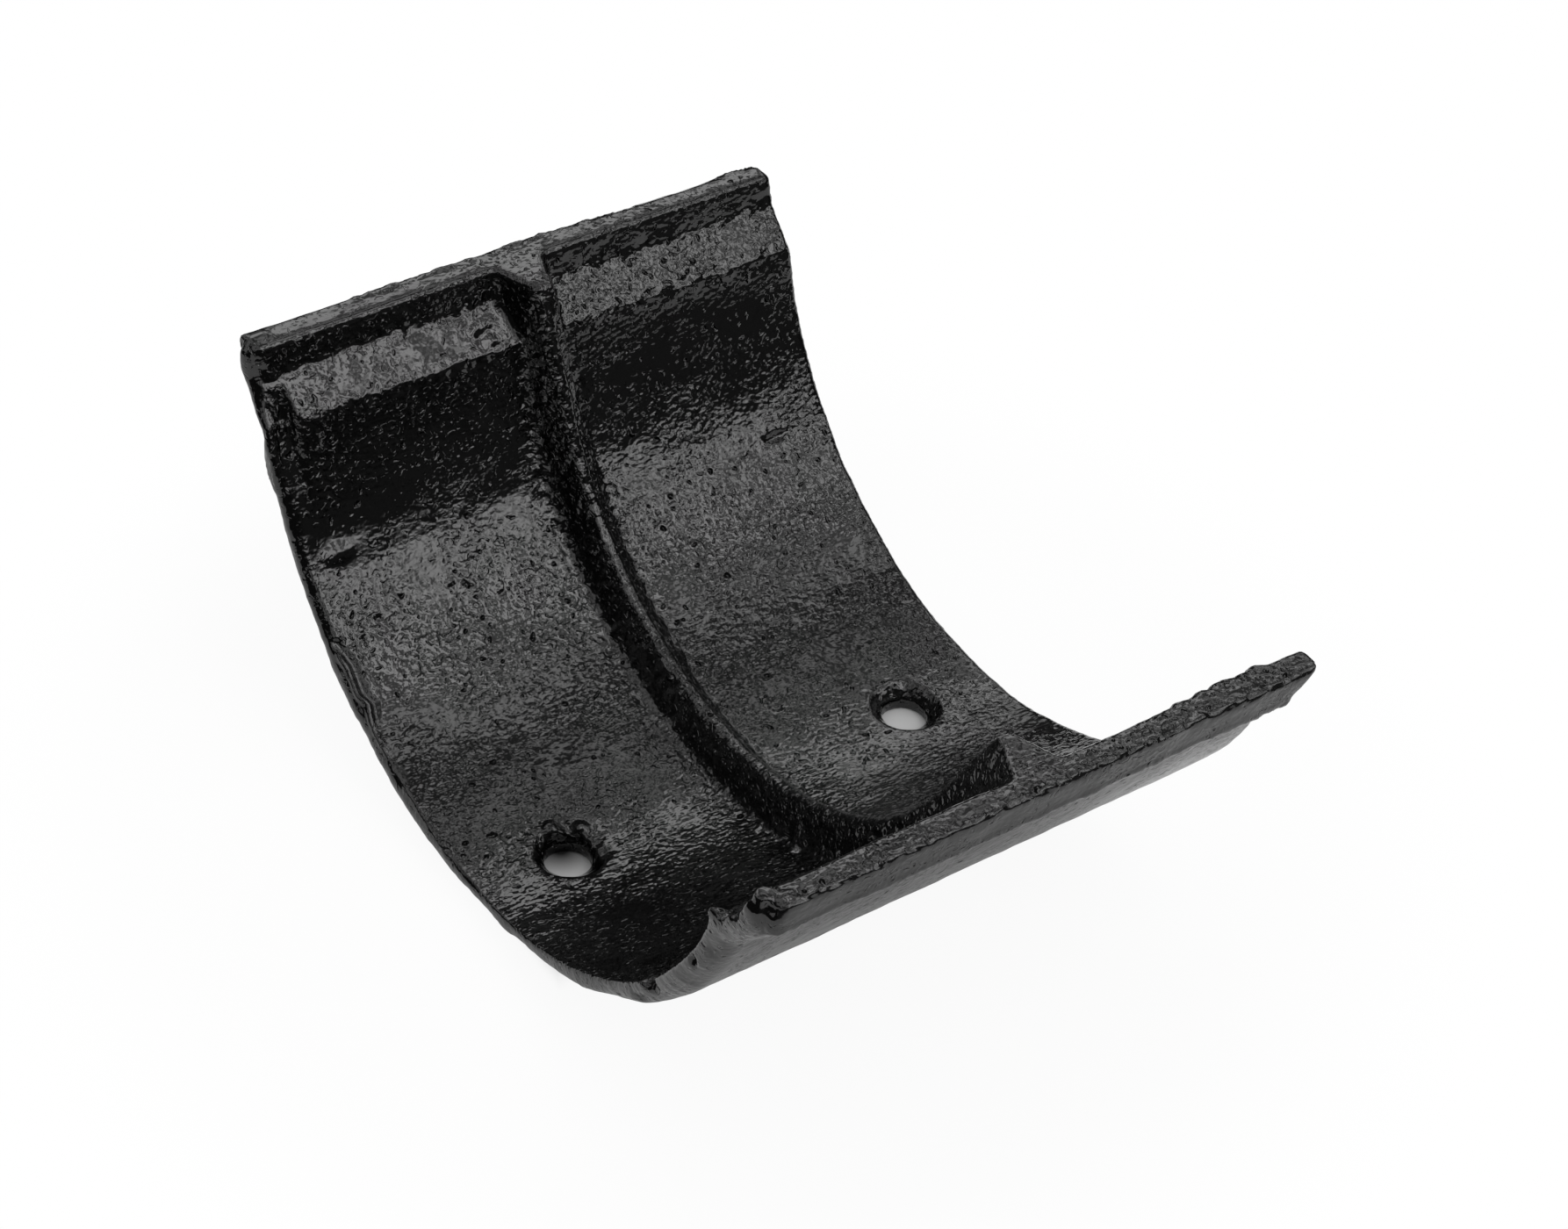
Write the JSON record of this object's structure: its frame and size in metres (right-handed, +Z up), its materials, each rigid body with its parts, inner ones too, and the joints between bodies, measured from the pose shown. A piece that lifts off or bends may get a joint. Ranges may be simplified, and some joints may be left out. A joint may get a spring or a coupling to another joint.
{
  "type": "gutter union clip",
  "caption": "Half-round cast-iron trough that joins gutter ends end to end: middle rib, bead seats along the rims and countersunk bolt holes.",
  "frame": {"origin": "under the middle of the clip, on the lowest line of the round bottom", "axes": "+X along the gutter, +Y from the front rim to the back rim, +Z up out of the open trough"},
  "size_m": [0.1, 0.145, 0.0613],
  "materials": {
    "painted_iron": "gloss black paint over a rough sand-cast surface"
  },
  "bodies": {
    "root": {"union_clip": "painted_iron"}
  },
  "joints": []
}
